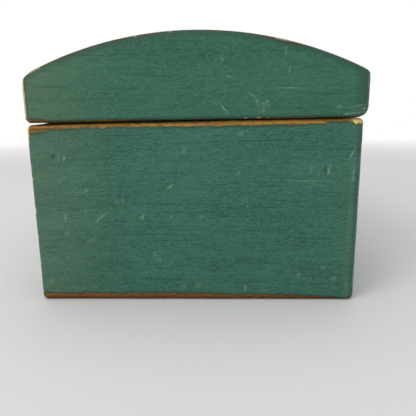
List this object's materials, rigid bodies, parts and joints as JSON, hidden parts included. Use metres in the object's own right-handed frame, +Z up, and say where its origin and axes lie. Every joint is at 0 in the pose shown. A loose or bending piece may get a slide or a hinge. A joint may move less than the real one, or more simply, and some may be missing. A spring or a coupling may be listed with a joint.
{
  "type": "trinket box",
  "caption": "Small keepsake box with a low barrel-vaulted hinged lid, painted wood with rubbed-through rounded edges.",
  "frame": {"origin": "middle of the base on the surface that the box stands on", "axes": "+X along the box towards its right end as seen from the front, +Y from the front towards the hinged back, +Z up"},
  "size_m": [0.1916, 0.1319, 0.106],
  "materials": {
    "painted_wood": "satin",
    "bare_wood": "matte",
    "brass": "satin"
  },
  "bodies": {
    "base": {"base_end_left": "painted_wood", "base_end_right": "painted_wood", "base_front": "painted_wood", "base_back": "painted_wood", "base_bottom": "bare_wood", "liner_front": "bare_wood", "liner_back": "bare_wood", "liner_left": "bare_wood", "liner_right": "bare_wood", "hinge_left_base_leaf": "brass", "hinge_left_pin": "brass", "hinge_right_base_leaf": "brass", "hinge_right_pin": "brass", "base_hinge_screws": "brass"},
    "lid": {"lid_end_left": "painted_wood", "lid_end_right": "painted_wood", "lid_front_rail": "painted_wood", "lid_back_rail": "painted_wood", "lid_top": "painted_wood", "hinge_left_lid_leaf": "brass", "hinge_right_lid_leaf": "brass", "lid_hinge_screws": "brass"}
  },
  "joints": [
    {"name": "lid_hinge", "type": "hinge", "parent": "base", "child": "lid", "pos_m": [0, 0.064, 0.07325], "axis": [-1, 0, 0], "range_deg": [0, 105]}
  ]
}
